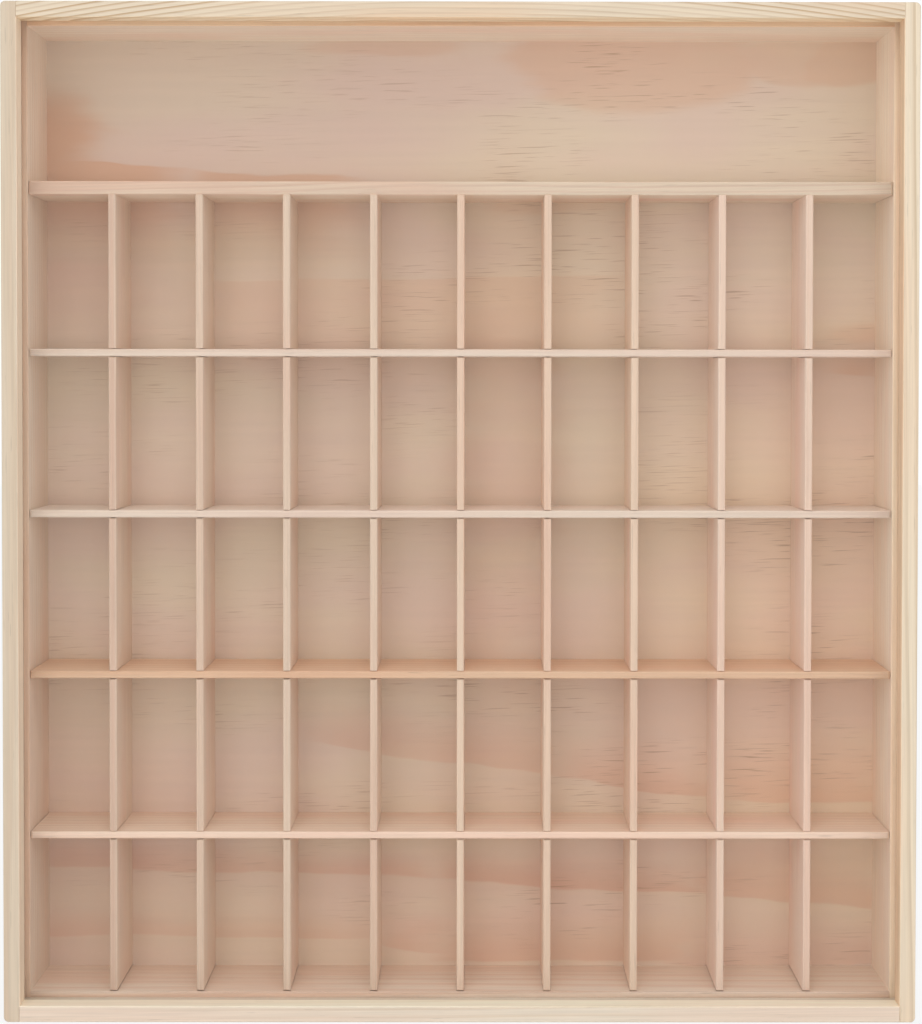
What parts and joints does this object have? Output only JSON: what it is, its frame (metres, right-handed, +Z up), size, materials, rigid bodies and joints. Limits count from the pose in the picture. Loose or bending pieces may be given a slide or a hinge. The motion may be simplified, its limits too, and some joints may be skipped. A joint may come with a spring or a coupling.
{
  "type": "display cabinet",
  "caption": "Shallow pine display cabinet with a lattice of small compartments, a wide header compartment and a hinged, clear-glazed front door.",
  "frame": {"origin": "middle of the base, halfway between the door's front and the back panel's back", "axes": "+Z up, +Y from the door to the back, +X to the viewer's right"},
  "size_m": [0.4031, 0.0594, 0.446],
  "materials": {
    "frame_pine": "bare planed pine",
    "case_pine": "bare planed pine",
    "slat_pine": "bare planed pine",
    "plywood": "bare sanded plywood",
    "clear_acrylic": "clear, polished",
    "hinge_brass": "brass plated",
    "nail_steel": "bright wire",
    "hanger_steel": "zinc plated",
    "magnet_nickel": "nickel plated"
  },
  "bodies": {
    "case": {"left_side_board": "case_pine", "right_side_board": "case_pine", "top_board": "case_pine", "bottom_board": "case_pine", "header_shelf": "slat_pine", "row_shelf_1": "slat_pine", "row_shelf_2": "slat_pine", "row_shelf_3": "slat_pine", "row_shelf_4": "slat_pine", "column_divider_1": "slat_pine", "column_divider_2": "slat_pine", "column_divider_3": "slat_pine", "column_divider_4": "slat_pine", "column_divider_5": "slat_pine", "column_divider_6": "slat_pine", "column_divider_7": "slat_pine", "column_divider_8": "slat_pine", "column_divider_9": "slat_pine", "back_panel": "plywood", "lower_hinge_case_leaf": "hinge_brass", "lower_hinge_pin": "hinge_brass", "upper_hinge_case_leaf": "hinge_brass", "upper_hinge_pin": "hinge_brass", "case_leaf_screws": "hinge_brass", "left_case_nails": "nail_steel", "right_case_nails": "nail_steel", "back_panel_nails": "nail_steel", "hanger_nails": "nail_steel", "sawtooth_hangers": "hanger_steel", "case_magnets": "magnet_nickel"},
    "door": {"door_left_stile": "frame_pine", "door_right_stile": "frame_pine", "door_top_rail": "frame_pine", "door_bottom_rail": "frame_pine", "door_pane": "clear_acrylic", "lower_hinge_door_leaf": "hinge_brass", "upper_hinge_door_leaf": "hinge_brass", "door_leaf_screws": "hinge_brass", "left_door_nails": "nail_steel", "right_door_nails": "nail_steel", "door_magnets": "magnet_nickel"}
  },
  "joints": [
    {"name": "door_hinge", "type": "hinge", "parent": "case", "child": "door", "pos_m": [-0.2017, -0.00995, 0.223], "axis": [0, 0, -1], "range_deg": [0, 170]}
  ]
}
